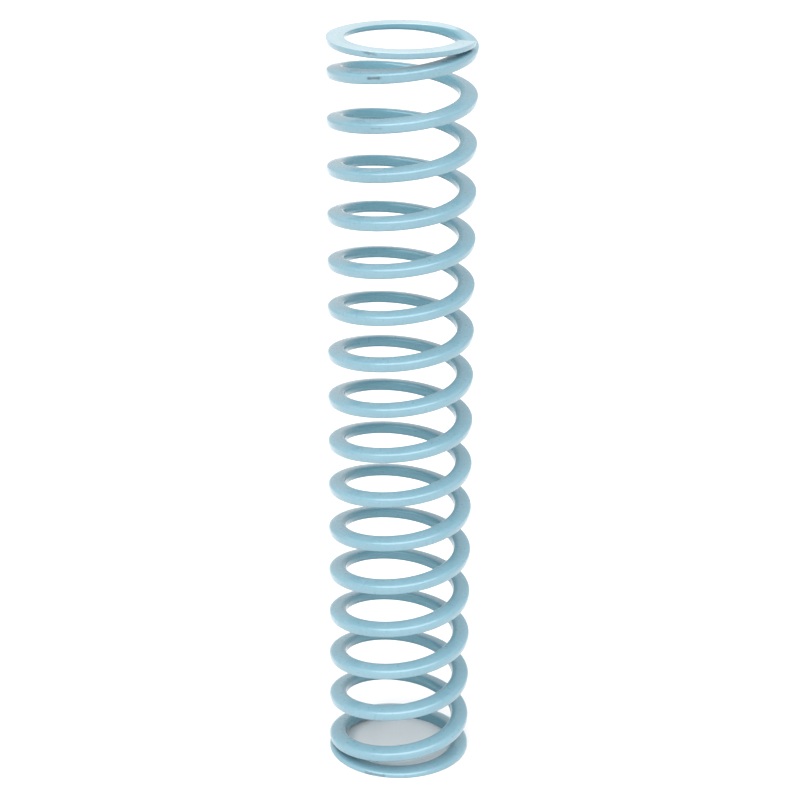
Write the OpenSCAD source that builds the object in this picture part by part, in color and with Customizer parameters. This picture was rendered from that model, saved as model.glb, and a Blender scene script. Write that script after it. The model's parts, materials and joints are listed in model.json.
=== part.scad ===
// Compression coil spring with closed and ground ends, wound right-handed.
// One wire, divided into named stretches: two end coils and the half turns between them.
// Each cut lies in the plane y = 0, where the wire twists as the spring is squeezed.
// The coil axis is Z, the ground bottom face is z = 0, and angles run from +X towards +Y.

/* [Coil] */
// Outside diameter of the coils
outside_d = 44; // [42:0.5:46]
// Free length between the two ground faces
free_length = 231; // [225:0.5:240]
// How far the middle coils stand above an even spacing
swell = 0.5; // [0:0.05:0.8]

/* [Wire] */
// Width of the wire across the coil
wire_w = 5.3; // [5:0.05:5.6]
// Thickness of the wire along the coil
wire_h = 3.45; // [3.3:0.05:3.6]
// Squareness of the section, where 2 is an oval and 6 is nearly a rectangle
squareness = 3.7; // [2.5:0.1:5]
// Lean of the section in degrees, with its outer side lower
lean = 9; // [6:0.5:12]

/* [Closed ends] */
// Angle of the bottom tip
bottom_tip = 171; // [165:1:177]
// Angle of the top tip
top_tip = 344; // [338:1:352]
// Wire left under the bottom tip after grinding
bottom_tip_left = 1.55; // [1.2:0.05:1.8]
// Wire left at the top tip after grinding
top_tip_left = 1.9; // [1.5:0.05:2.2]
// Clearance between the bottom tip and the coil above it
bottom_tip_gap = 0.3; // [0.2:0.05:0.6]
// Clearance between the top tip and the coil below it
top_tip_gap = 0.25; // [0.15:0.05:0.5]
// Turns from the bottom tip to the middle of the bend that opens the coil
bottom_closed = 0.815; // [0.8:0.005:0.83]
// Length of that bend in turns
bottom_bend = 0.75; // [0.65:0.01:0.8]
// Turns from the top tip to the middle of its bend
top_closed = 0.775; // [0.74:0.005:0.8]
// Length of the top bend in turns
top_bend = 0.32; // [0.26:0.01:0.4]

/* [Hidden] */
HALF_TURNS = 31;        // stretches between the two end coils
CUT_GAP = 0.05;         // clearance left on each side of a cut
STEP = 10;              // degrees between two rings of the swept wire
RING = 12;              // points around the section

first_cut = 540;
last_cut = first_cut + 180 * HALF_TURNS;
last_angle = last_cut + top_tip;
turns = (last_angle - bottom_tip) / 360;

// Section points before and after the lean, as [across, along]
section_upright = [
    for (k = [0:RING - 1])
        let (a = 360 * k / RING)
            [rounded(cos(a)) * wire_w / 2, rounded(sin(a)) * wire_h / 2]
];
section = [
    for (s = section_upright)
        [s[0] * cos(lean) + s[1] * sin(lean), s[1] * cos(lean) - s[0] * sin(lean)]
];
coil_r = outside_d / 2 - max([for (s = section) s[0]]);
cut_angle = CUT_GAP / coil_r * 180 / PI;

// Pitches that meet the free length and both tip clearances together
stack_h = wire_h / cos(lean);
open_turns = turns - bottom_closed - top_closed;
bottom_rise = stack_h + bottom_tip_gap - swelling(1);
top_rise = stack_h + top_tip_gap + swelling(turns - 1);
bottom_share = bottom_bend * eased((1 - bottom_closed) / bottom_bend + 0.5);
top_share = top_bend * eased((1 - top_closed) / top_bend + 0.5);
bottom_weight = bottom_closed / (1 - bottom_share);
top_weight = top_closed / (1 - top_share);
bottom_z = bottom_tip_left - stack_h / 2;
top_z = free_length - top_tip_left + stack_h / 2;
pitch = (top_z - bottom_z - bottom_rise * bottom_weight - top_rise * top_weight)
    / (open_turns - bottom_share * bottom_weight - top_share * top_weight);
bottom_pitch = (bottom_rise - pitch * bottom_share) / (1 - bottom_share);
top_pitch = (top_rise - pitch * top_share) / (1 - top_share);

two_digits = [for (i = [1:HALF_TURNS]) i < 10 ? str("0", i) : str(i)];
half_turn_names = [for (d = two_digits) str("half_turn_", d)];

// Superellipse profile of a sine or cosine
function rounded(c) = sign(c) * pow(abs(c), 2 / squareness);

// Distance gained by a speed that rises smoothly from 0 to 1 while u goes from 0 to 1
function eased(u) =
    u <= 0 ? 0
    : u >= 1 ? u - 0.5
    : pow(u, 3) - pow(u, 4) / 2;

// Extra height of the coils t turns from the bottom tip, nothing at the ends and most in the middle
function swelling(t) =
    let (share = max(0, min(1, (t - bottom_closed) / open_turns)))
        4 * swell * share * (1 - share);

// Height of the wire's centre after t turns from the bottom tip
function wire_z(t) =
    bottom_z
    + bottom_pitch * t
    + (pitch - bottom_pitch) * bottom_bend * eased((t - bottom_closed) / bottom_bend + 0.5)
    - (pitch - top_pitch) * top_bend * eased((t - turns + top_closed) / top_bend + 0.5)
    + swelling(t);

// Wire swept through the listed angles
module wire(angles) {
    last = len(angles) - 1;
    points = [
        for (a = angles)
            let (z = wire_z((a - bottom_tip) / 360))
                for (s = section)
                    [(coil_r + s[0]) * cos(a), (coil_r + s[0]) * sin(a), z + s[1]]
    ];
    sides = [
        for (i = [0:last - 1], k = [0:RING - 1])
            let (here = i * RING + k, beside = i * RING + (k + 1) % RING)
                each [
                    [here, here + RING, beside + RING],
                    [here, beside + RING, beside]
                ]
    ];
    start_face = [for (k = [0:RING - 1]) k];
    end_face = [for (k = [RING - 1:-1:0]) last * RING + k];
    polyhedron(points, concat([start_face], sides, [end_face]), convexity = 6);
}

// Block that stands in for everything the grinding wheel takes away, upwards from z
module ground_off(z) {
    translate([-outside_d, -outside_d, z])
        cube([2 * outside_d, 2 * outside_d, 4 * wire_h]);
}

module bottom_end_coil() {
    first_ring = 180;
    color("lightblue")
        difference() {
            wire(concat(
                [bottom_tip],
                [for (a = [first_ring:STEP:first_cut - STEP]) a],
                [first_cut - cut_angle]
            ));
            ground_off(-4 * wire_h);
        }
}

module half_turn(i) {
    start = first_cut + 180 * (i - 1);
    color("lightblue")
        wire(concat(
            [start + cut_angle],
            [for (a = [STEP:STEP:180 - STEP]) start + a],
            [start + 180 - cut_angle]
        ));
}

module top_end_coil() {
    color("lightblue")
        difference() {
            wire(concat(
                [last_cut + cut_angle],
                [for (a = [STEP:STEP:top_tip - 2]) last_cut + a],
                [last_angle]
            ));
            ground_off(free_length);
        }
}

bottom_end_coil();
for (i = [1:HALF_TURNS])
    half_turn(i);
top_end_coil();
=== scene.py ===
"""Looks for the closed and ground coil spring.

One coated wire, drawn in half-turn stretches, one centred on each of the CAD's cuts.
"""
import json
import math
import bpy
import numpy as np
from mathutils import Matrix, Vector

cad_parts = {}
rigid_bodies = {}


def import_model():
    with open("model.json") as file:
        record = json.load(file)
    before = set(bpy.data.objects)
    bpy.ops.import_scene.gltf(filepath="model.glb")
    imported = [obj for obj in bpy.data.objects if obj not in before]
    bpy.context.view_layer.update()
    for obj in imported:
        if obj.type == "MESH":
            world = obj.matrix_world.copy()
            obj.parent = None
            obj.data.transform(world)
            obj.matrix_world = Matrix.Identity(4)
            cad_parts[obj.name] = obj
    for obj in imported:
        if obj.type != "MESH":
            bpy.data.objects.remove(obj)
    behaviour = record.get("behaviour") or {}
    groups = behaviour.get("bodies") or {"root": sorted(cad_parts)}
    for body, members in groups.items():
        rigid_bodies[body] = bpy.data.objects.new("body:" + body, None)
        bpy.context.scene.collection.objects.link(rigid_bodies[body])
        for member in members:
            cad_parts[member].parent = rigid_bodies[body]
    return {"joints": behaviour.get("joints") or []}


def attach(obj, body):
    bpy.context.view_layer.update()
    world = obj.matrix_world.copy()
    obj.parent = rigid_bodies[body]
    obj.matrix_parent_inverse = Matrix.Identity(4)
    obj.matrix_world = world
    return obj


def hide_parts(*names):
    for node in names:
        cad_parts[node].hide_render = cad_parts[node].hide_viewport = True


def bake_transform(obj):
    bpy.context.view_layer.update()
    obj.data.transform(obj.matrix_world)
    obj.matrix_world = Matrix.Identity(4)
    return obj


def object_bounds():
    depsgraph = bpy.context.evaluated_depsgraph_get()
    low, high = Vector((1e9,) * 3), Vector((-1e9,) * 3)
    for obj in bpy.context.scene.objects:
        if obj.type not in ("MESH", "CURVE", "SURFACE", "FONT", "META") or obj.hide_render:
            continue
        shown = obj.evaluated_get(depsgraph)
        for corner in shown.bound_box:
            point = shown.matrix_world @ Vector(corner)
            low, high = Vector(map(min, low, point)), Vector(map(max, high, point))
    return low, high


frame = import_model()
cad_low, cad_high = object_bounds()
joints = sorted(frame["joints"], key=lambda j: j["name"])

# --- the wire, with the same dimensions as the CAD, in millimetres and degrees ---
OUTER_R = (cad_high.x - cad_low.x) * 500
LENGTH = cad_high.z * 1000
WIRE_W, WIRE_H = 5.3, 3.45
SQUARENESS, LEAN = 3.7, math.radians(9)
BOTTOM_TIP, TOP_TIP = 171.0, 344.0
BOTTOM_LEFT, TOP_LEFT = 1.55, 1.9
BOTTOM_GAP, TOP_GAP = 0.3, 0.25
BOTTOM_CLOSED, BOTTOM_BEND = 0.815, 0.75
TOP_CLOSED, TOP_BEND = 0.775, 0.32
SWELL = 0.5
FIRST_CUT = 540.0
LAST_CUT = FIRST_CUT + 180 * (len(joints) - 1)
LAST_ANGLE = LAST_CUT + TOP_TIP
TURNS = (LAST_ANGLE - BOTTOM_TIP) / 360

STEP = 2.5        # degrees between rings
AROUND = 56       # points round the section
DENSE = 900       # points round the section while its corners are being rounded
ROUNDING = 0.28   # how far the coat rounds a ground edge
CAP_TURNS = ((0.9, 0.02), (0.55, 0.07), (0.25, 0.19), (0.0, 0.42))   # a tip's degrees from its end, and inset
CAP_LENGTH = 1.2  # degrees that the softened tip takes up


def superellipse(count):
    a = np.linspace(0, 2 * np.pi, count, endpoint=False)
    c, s = np.cos(a), np.sin(a)
    x = np.sign(c) * np.abs(c) ** (2 / SQUARENESS) * WIRE_W / 2
    y = np.sign(s) * np.abs(s) ** (2 / SQUARENESS) * WIRE_H / 2
    return np.stack([x * math.cos(LEAN) + y * math.sin(LEAN), y * math.cos(LEAN) - x * math.sin(LEAN)], 1)


SECTION = superellipse(720)
# the CAD's section has twelve points, and its widest one is set on the outside diameter
COIL_R = OUTER_R - superellipse(12)[:, 0].max()


def eased(u):
    u = np.asarray(u, float)
    inside = np.clip(u, 0, 1)
    return np.where(u >= 1, u - 0.5, inside ** 3 - inside ** 4 / 2)


STACK = WIRE_H / math.cos(LEAN)
OPEN_TURNS = TURNS - BOTTOM_CLOSED - TOP_CLOSED


def swelling(t):
    share = np.clip((np.asarray(t, float) - BOTTOM_CLOSED) / OPEN_TURNS, 0, 1)
    return 4 * SWELL * share * (1 - share)


BOTTOM_RISE = STACK + BOTTOM_GAP - float(swelling(1))
TOP_RISE = STACK + TOP_GAP + float(swelling(TURNS - 1))
bottom_share = BOTTOM_BEND * float(eased((1 - BOTTOM_CLOSED) / BOTTOM_BEND + 0.5))
top_share = TOP_BEND * float(eased((1 - TOP_CLOSED) / TOP_BEND + 0.5))
bottom_weight = BOTTOM_CLOSED / (1 - bottom_share)
top_weight = TOP_CLOSED / (1 - top_share)
BOTTOM_Z = BOTTOM_LEFT - STACK / 2
TOP_Z = LENGTH - TOP_LEFT + STACK / 2
PITCH = (TOP_Z - BOTTOM_Z - BOTTOM_RISE * bottom_weight - TOP_RISE * top_weight) / (
    OPEN_TURNS - bottom_share * bottom_weight - top_share * top_weight)
BOTTOM_PITCH = (BOTTOM_RISE - PITCH * bottom_share) / (1 - bottom_share)
TOP_PITCH = (TOP_RISE - PITCH * top_share) / (1 - top_share)


def wire_z(angle):
    t = (angle - BOTTOM_TIP) / 360
    return (BOTTOM_Z + BOTTOM_PITCH * t
            + (PITCH - BOTTOM_PITCH) * BOTTOM_BEND * eased((t - BOTTOM_CLOSED) / BOTTOM_BEND + 0.5)
            - (PITCH - TOP_PITCH) * TOP_BEND * eased((t - TURNS + TOP_CLOSED) / TOP_BEND + 0.5)
            + swelling(t))


def keep_side(poly, plane, above):
    """The part of a closed outline on one side of a level line."""
    side = (poly[:, 1] - plane) * (1 if above else -1)
    out = []
    for i in range(len(poly)):
        j = (i + 1) % len(poly)
        if side[i] >= 0:
            out.append(poly[i])
        if (side[i] >= 0) != (side[j] >= 0):
            f = side[i] / (side[i] - side[j])
            out.append(poly[i] + f * (poly[j] - poly[i]))
    return np.array(out)


def walk(poly, count):
    """Points at equal steps along a closed outline, and its length."""
    closed = np.vstack([poly, poly[:1]])
    run = np.concatenate([[0], np.cumsum(np.hypot(*np.diff(closed, axis=0).T))])
    at = np.arange(count) / count * run[-1]
    return np.stack([np.interp(at, run, closed[:, 0]), np.interp(at, run, closed[:, 1])], 1), run[-1]


def finished(poly):
    """An outline with its corners rounded by the coat, as AROUND points that start on the outer side."""
    dense, length = walk(poly, DENSE)
    half = max(1, int(round(ROUNDING / 2 / (length / DENSE))))
    smooth = np.mean([np.roll(dense, k, axis=0) for k in range(-half, half + 1)], axis=0)
    centre = smooth.mean(0)
    bearing = np.arctan2(smooth[:, 1] - centre[1], smooth[:, 0] - centre[0])
    first = int(np.argmin(np.abs(bearing)))
    return walk(np.roll(smooth, -first, axis=0), AROUND)[0]


PLAIN = finished(SECTION)
PLAIN_LOW, PLAIN_HIGH = SECTION[:, 1].min(), SECTION[:, 1].max()


def outline(angle):
    """The section at this angle as [across, height], with what the grinding took away removed."""
    z = float(wire_z(angle))
    if z + PLAIN_LOW >= 0 and z + PLAIN_HIGH <= LENGTH:
        return PLAIN + [COIL_R, z]
    poly = SECTION + [COIL_R, z]
    if z + PLAIN_LOW < 0:
        poly = keep_side(poly, 0.0, True)
    if z + PLAIN_HIGH > LENGTH:
        poly = keep_side(poly, LENGTH, False)
    return finished(poly)


def ring(angle, inset=0.0):
    flat = outline(angle)
    if inset:
        centre = flat.mean(0)
        reach = np.linalg.norm(flat - centre, axis=1, keepdims=True)
        flat = centre + (flat - centre) * np.maximum(0.1, 1 - inset / reach)
    a = math.radians(angle)
    return np.stack([flat[:, 0] * math.cos(a), flat[:, 0] * math.sin(a), flat[:, 1]], 1)


def wire_piece(name, start, end, tip_at=None):
    """A closed stretch of the wire between two angles. A tip is softened where the wire really ends."""
    count = max(2, int(round((end - start) / STEP)))
    angles = list(np.linspace(start, end, count + 1))
    insets = [0.0] * len(angles)
    if tip_at == "start":
        angles = [start + d for d, _ in reversed(CAP_TURNS)] + [a for a in angles if a > start + CAP_LENGTH]
        insets = [i for _, i in reversed(CAP_TURNS)] + [0.0] * (len(angles) - len(CAP_TURNS))
    if tip_at == "end":
        angles = [a for a in angles if a < end - CAP_LENGTH] + [end - d for d, _ in CAP_TURNS]
        insets = [0.0] * (len(angles) - len(CAP_TURNS)) + [i for _, i in CAP_TURNS]
    rings = np.array([ring(a, i) for a, i in zip(angles, insets)])
    n, m = len(angles), AROUND
    # normals from the neighbours along and around; one ring past each cut keeps the shading whole across it
    before = rings[0] if tip_at == "start" else ring(angles[0] - STEP)
    after = rings[-1] if tip_at == "end" else ring(angles[-1] + STEP)
    padded = np.concatenate([before[None], rings, after[None]])
    step_a = np.array([angles[0] - (0 if tip_at == "start" else STEP)] + angles
                      + [angles[-1] + (0 if tip_at == "end" else STEP)])
    d1 = (padded[1:-1] - padded[:-2]) / np.maximum(step_a[1:-1] - step_a[:-2], 1e-6)[:, None, None]
    d2 = (padded[2:] - padded[1:-1]) / np.maximum(step_a[2:] - step_a[1:-1], 1e-6)[:, None, None]
    along = np.where(step_a[1:-1, None, None] - step_a[:-2, None, None] < 1e-5, d2,
                     np.where(step_a[2:, None, None] - step_a[1:-1, None, None] < 1e-5, d1, (d1 + d2) / 2))
    around = np.roll(rings, -1, axis=1) - np.roll(rings, 1, axis=1)
    normal = np.cross(around, along)
    normal /= np.linalg.norm(normal, axis=2, keepdims=True)
    if (normal[n // 2, 0] * rings[n // 2, 0])[:2].sum() < 0:
        normal = -normal
    verts = (rings.reshape(-1, 3) / 1000).tolist()
    faces = []
    for i in range(n - 1):
        for k in range(m):
            j = (k + 1) % m
            faces.append((i * m + k, (i + 1) * m + k, (i + 1) * m + j, i * m + j))
    faces.append(tuple(range(m)))
    faces.append(tuple((n - 1) * m + k for k in reversed(range(m))))
    mesh = bpy.data.meshes.new(name)
    mesh.from_pydata(verts, [], faces)
    mesh.update()
    flat_normal = normal.reshape(-1, 3)
    loop_vert = np.zeros(len(mesh.loops), int)
    mesh.loops.foreach_get("vertex_index", loop_vert)
    loop_normals = flat_normal[loop_vert]
    at = len(mesh.loops) - 2 * m      # the two end faces come last
    for sign, angle in ((-1, angles[0]), (1, angles[-1])):
        a = math.radians(angle)
        loop_normals[at:at + m] = [-sign * math.sin(a), sign * math.cos(a), 0]
        at += m
    mesh.polygons.foreach_set("use_smooth", [True] * len(mesh.polygons))
    mesh.normals_split_custom_set(loop_normals.tolist())
    # where each point lies on the undisturbed wire, so that the finish doesn't slide when the coils close
    rest = mesh.attributes.new("rest", "FLOAT_VECTOR", "POINT")
    rest.data.foreach_set("vector", rings.astype(np.float32).ravel() / 1000)
    # the bearing of each point around the wire's own centre, and its distance along the wire in metres
    lengthwise = np.repeat(np.radians(angles) * COIL_R / 1000, m)
    across = np.hypot(rings[..., 0], rings[..., 1]) - COIL_R
    above = rings[..., 2] - wire_z(np.array(angles))[:, None]
    bearing = np.arctan2(above, across).ravel()
    wire = mesh.attributes.new("wire", "FLOAT_VECTOR", "POINT")
    wire.data.foreach_set("vector", np.stack([np.cos(bearing), np.sin(bearing), lengthwise], 1)
                          .astype(np.float32).ravel())
    obj = bpy.data.objects.new(name, mesh)
    bpy.context.scene.collection.objects.link(obj)
    return obj


# --- the coat ---
def coat_material():
    mat = bpy.data.materials.new("light_blue_powder_coat")
    mat.use_nodes = True
    nodes, links = mat.node_tree.nodes, mat.node_tree.links
    nodes.clear()
    out = nodes.new("ShaderNodeOutputMaterial")
    shader = nodes.new("ShaderNodeBsdfPrincipled")
    links.new(shader.outputs[0], out.inputs[0])
    shader.inputs["IOR"].default_value = 1.5
    shader.inputs["Coat Weight"].default_value = 0.7
    shader.inputs["Coat Roughness"].default_value = 0.12

    rest = nodes.new("ShaderNodeAttribute")
    rest.attribute_name = "rest"
    wire = nodes.new("ShaderNodeAttribute")
    wire.attribute_name = "wire"

    def noise(scale, detail, rough=0.5, vector=None):
        node = nodes.new("ShaderNodeTexNoise")
        node.inputs["Scale"].default_value = scale
        node.inputs["Detail"].default_value = detail
        node.inputs["Roughness"].default_value = rough
        links.new(vector or rest.outputs["Vector"], node.inputs["Vector"])
        return node.outputs["Fac"]

    def ramp(value, lo, hi, out_lo=0.0, out_hi=1.0):
        node = nodes.new("ShaderNodeMapRange")
        node.interpolation_type = "SMOOTHSTEP"
        links.new(value, node.inputs["Value"])
        for key, v in (("From Min", lo), ("From Max", hi), ("To Min", out_lo), ("To Max", out_hi)):
            node.inputs[key].default_value = v
        return node.outputs["Result"]

    def maths(kind, *values):
        node = nodes.new("ShaderNodeMath")
        node.operation = kind
        for k, v in enumerate(values):
            if isinstance(v, (int, float)):
                node.inputs[k].default_value = v
            else:
                links.new(v, node.inputs[k])
        return node.outputs[0]

    def away(value, centre):
        return maths("ABSOLUTE", maths("ADD", value, -centre))

    def blend(factor, a, b):
        node = nodes.new("ShaderNodeMix")
        node.data_type = "RGBA"
        links.new(factor, node.inputs[0])
        for socket, v in ((node.inputs[6], a), (node.inputs[7], b)):
            if isinstance(v, tuple):
                socket.default_value = v
            else:
                links.new(v, socket)
        return node.outputs[2]

    stretched = nodes.new("ShaderNodeMapping")
    stretched.inputs["Scale"].default_value = (1.0, 1.0, 60.0)
    links.new(wire.outputs["Vector"], stretched.inputs["Vector"])

    cloud = noise(60, 3)
    mottle = noise(700, 4, 0.6)
    fine = noise(2600, 3, 0.6)
    streak = noise(2.2, 4, 0.6, stretched.outputs[0])
    colour = blend(ramp(cloud, 0.3, 0.7), (0.176, 0.338, 0.412, 1), (0.202, 0.368, 0.444, 1))
    colour = blend(ramp(mottle, 0.35, 0.75, 0.0, 0.35), colour, (0.240, 0.398, 0.468, 1))
    colour = blend(ramp(streak, 0.55, 0.8, 0.0, 0.3), colour, (0.146, 0.294, 0.366, 1))

    apart = nodes.new("ShaderNodeSeparateXYZ")
    links.new(wire.outputs["Vector"], apart.inputs[0])
    outward, upward, length = apart.outputs
    place = nodes.new("ShaderNodeSeparateXYZ")
    links.new(rest.outputs["Vector"], place.inputs[0])

    # painted shade: the side of the wire that faces the coil's axis is coloured darker and more teal,
    # standing in for the shade and blue bounce light inside the coil
    painted_inner_shade = ramp(outward, -0.80, -0.35, 0.55, 0.0)
    colour = blend(painted_inner_shade, colour, (0.068, 0.245, 0.312, 1))

    # painted light: the ground end faces at both ends are coloured paler, standing in for the bright overhead
    # light on the flat top face
    ground = maths("ADD", ramp(place.outputs[2], (LENGTH - 0.35) / 1000, (LENGTH - 0.08) / 1000),
                   ramp(place.outputs[2], 0.00008, 0.00035, 1.0, 0.0))
    ground = maths("MULTIPLY", ground, ramp(cloud, 0.2, 0.8, 0.55, 0.85))
    colour = blend(ground, colour, (0.430, 0.560, 0.610, 1))

    # painted shade: a darker, greyer band along the lower outer edge of the wire, where shade falls under it;
    # and a few small chips on the creases
    painted_lower_edge_shade = maths("MULTIPLY", ramp(away(upward, -0.62), 0.02, 0.22, 1.0, 0.0), ramp(outward, 0.3, 0.6))
    painted_lower_edge_shade = maths("MULTIPLY", painted_lower_edge_shade, ramp(mottle, 0.3, 0.7, 0.25, 0.6))
    colour = blend(painted_lower_edge_shade, colour, (0.185, 0.275, 0.312, 1))
    corner = ramp(away(maths("ABSOLUTE", upward), 0.58), 0.05, 0.16, 1.0, 0.0)
    chip = maths("MULTIPLY", corner, maths("MULTIPLY", ramp(fine, 0.71, 0.76), ramp(cloud, 0.56, 0.66)))
    colour = blend(maths("MULTIPLY", chip, 0.2), colour, (0.120, 0.165, 0.190, 1))

    def rub(angle, half_length, height, half_height, strength):
        """A dark rub on the outer face, at this wire angle and height on the section."""
        along = away(length, math.radians(angle) * COIL_R / 1000)
        far = maths("MAXIMUM", maths("MULTIPLY", along, 1000 / half_length),
                    maths("MULTIPLY", away(upward, height), 1 / half_height))
        edge = maths("ADD", far, ramp(mottle, 0.3, 0.7, -0.35, 0.35))
        shape = maths("MULTIPLY", ramp(edge, 0.7, 1.15, strength, 0.0), ramp(outward, 0.2, 0.4))
        return maths("MULTIPLY", shape, ramp(fine, 0.25, 0.6, 0.6, 1.0))

    # on the top ring, on the two coils below it, on the bottom ring, and a dot on the top face
    worn = rub(LAST_CUT + 245, 1.7, -0.10, 0.16, 0.62)
    for spot in ((LAST_CUT - 111, 1.6, 0.04, 0.13, 0.85), (LAST_CUT - 470, 1.5, 0.0, 0.10, 0.35),
                 (249.5, 2.9, 0.20, 0.16, 0.5), (LAST_CUT + 330, 0.35, 0.55, 0.2, 0.5)):
        worn = maths("MAXIMUM", worn, rub(*spot))
    colour = blend(worn, colour, (0.045, 0.080, 0.100, 1))

    links.new(colour, shader.inputs["Base Color"])
    gloss = ramp(noise(900, 3), 0.25, 0.8, 0.26, 0.42)
    links.new(maths("ADD", gloss, maths("MULTIPLY", worn, 0.2)), shader.inputs["Roughness"])

    # orange peel of a sprayed powder, and a finer grain under it
    peel = noise(1100, 2, 0.5)
    grain = noise(5200, 2, 0.5)
    height = maths("ADD", peel, maths("MULTIPLY", grain, 0.25))
    bump = nodes.new("ShaderNodeBump")
    bump.inputs["Strength"].default_value = 0.35
    bump.inputs["Distance"].default_value = 0.00012
    links.new(height, bump.inputs["Height"])
    links.new(bump.outputs[0], shader.inputs["Normal"])
    return mat


coat = coat_material()

# --- pieces: an end coil at each end, and one stretch centred on each cut ---
names = [joints[0]["parent"]] + [j["child"] for j in joints]
made = []


def finish_piece(obj):
    obj.data.materials.append(coat)
    made.append(obj)


bottom = wire_piece("wire_bottom_end", BOTTOM_TIP, FIRST_CUT - 90, tip_at="start")
finish_piece(bottom)
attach(bottom, names[0])
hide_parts(names[0])

for i, joint in enumerate(joints):
    cut = FIRST_CUT + 180 * i
    piece = wire_piece("wire_stretch_%02d" % (i + 1), cut - 90, cut + 90)
    finish_piece(piece)
    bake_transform(piece)
    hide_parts(joint["child"])

top = wire_piece("wire_top_end", LAST_CUT + 90, LAST_ANGLE, tip_at="end")
finish_piece(top)
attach(top, names[-1])

# --- floor, light and camera ---
FLOOR_HALF, FLOOR_BACK, FLOOR_DROP = 1.5, 4.0, 0.00005
SKY_STRENGTH, LIGHT_STRENGTH, LIGHT_SPREAD = 0.74, 3.6, math.radians(70)
LIGHT_DIRECTION = Vector((0.06, 0.42, -1.0))
LENS, CAMERA_PLACE = 104.506, (-0.000132, -0.657745, 0.376284)
CAMERA_TILT, CAMERA_ROLL = math.radians(21.371), math.radians(0.306)

floor_mesh = bpy.data.meshes.new("floor")
corners = [(-FLOOR_HALF, -FLOOR_HALF, 0), (FLOOR_HALF, -FLOOR_HALF, 0),
           (FLOOR_HALF, FLOOR_BACK, 0), (-FLOOR_HALF, FLOOR_BACK, 0)]
floor_mesh.from_pydata(corners, [], [(0, 1, 2, 3)])
floor = bpy.data.objects.new("floor", floor_mesh)
floor.location.z = -FLOOR_DROP
bpy.context.scene.collection.objects.link(floor)
floor_mat = bpy.data.materials.new("pale_floor")
floor_mat.use_nodes = True
floor_shader = floor_mat.node_tree.nodes["Principled BSDF"]
floor_shader.inputs["Base Color"].default_value = (0.86, 0.85, 0.85, 1)
floor_shader.inputs["Roughness"].default_value = 0.8
floor_shader.inputs["Specular IOR Level"].default_value = 0.1
floor_mesh.materials.append(floor_mat)

world = bpy.data.worlds.new("soft_white")
bpy.context.scene.world = world
world.use_nodes = True
world.node_tree.nodes["Background"].inputs[0].default_value = (1, 1, 1, 1)
world.node_tree.nodes["Background"].inputs[1].default_value = SKY_STRENGTH

# one wide soft light from above the viewer
sun_data = bpy.data.lights.new("overhead", "SUN")
sun_data.energy = LIGHT_STRENGTH
sun_data.angle = LIGHT_SPREAD
sun = bpy.data.objects.new("overhead", sun_data)
sun.rotation_mode = "QUATERNION"
sun.rotation_quaternion = LIGHT_DIRECTION.to_track_quat("-Z", "Y")
bpy.context.scene.collection.objects.link(sun)

camera_data = bpy.data.cameras.new("camera")
camera_data.sensor_width = 36
camera_data.lens = LENS
camera_data.clip_start = 0.01
camera = bpy.data.objects.new("camera", camera_data)
bpy.context.scene.collection.objects.link(camera)
camera.matrix_world = (Matrix.Translation(CAMERA_PLACE)
                       @ Matrix.Rotation(math.pi / 2 - CAMERA_TILT, 4, "X")
                       @ Matrix.Rotation(CAMERA_ROLL, 4, "Z"))
bpy.context.scene.camera = camera
bpy.context.scene.view_settings.view_transform = "Standard"
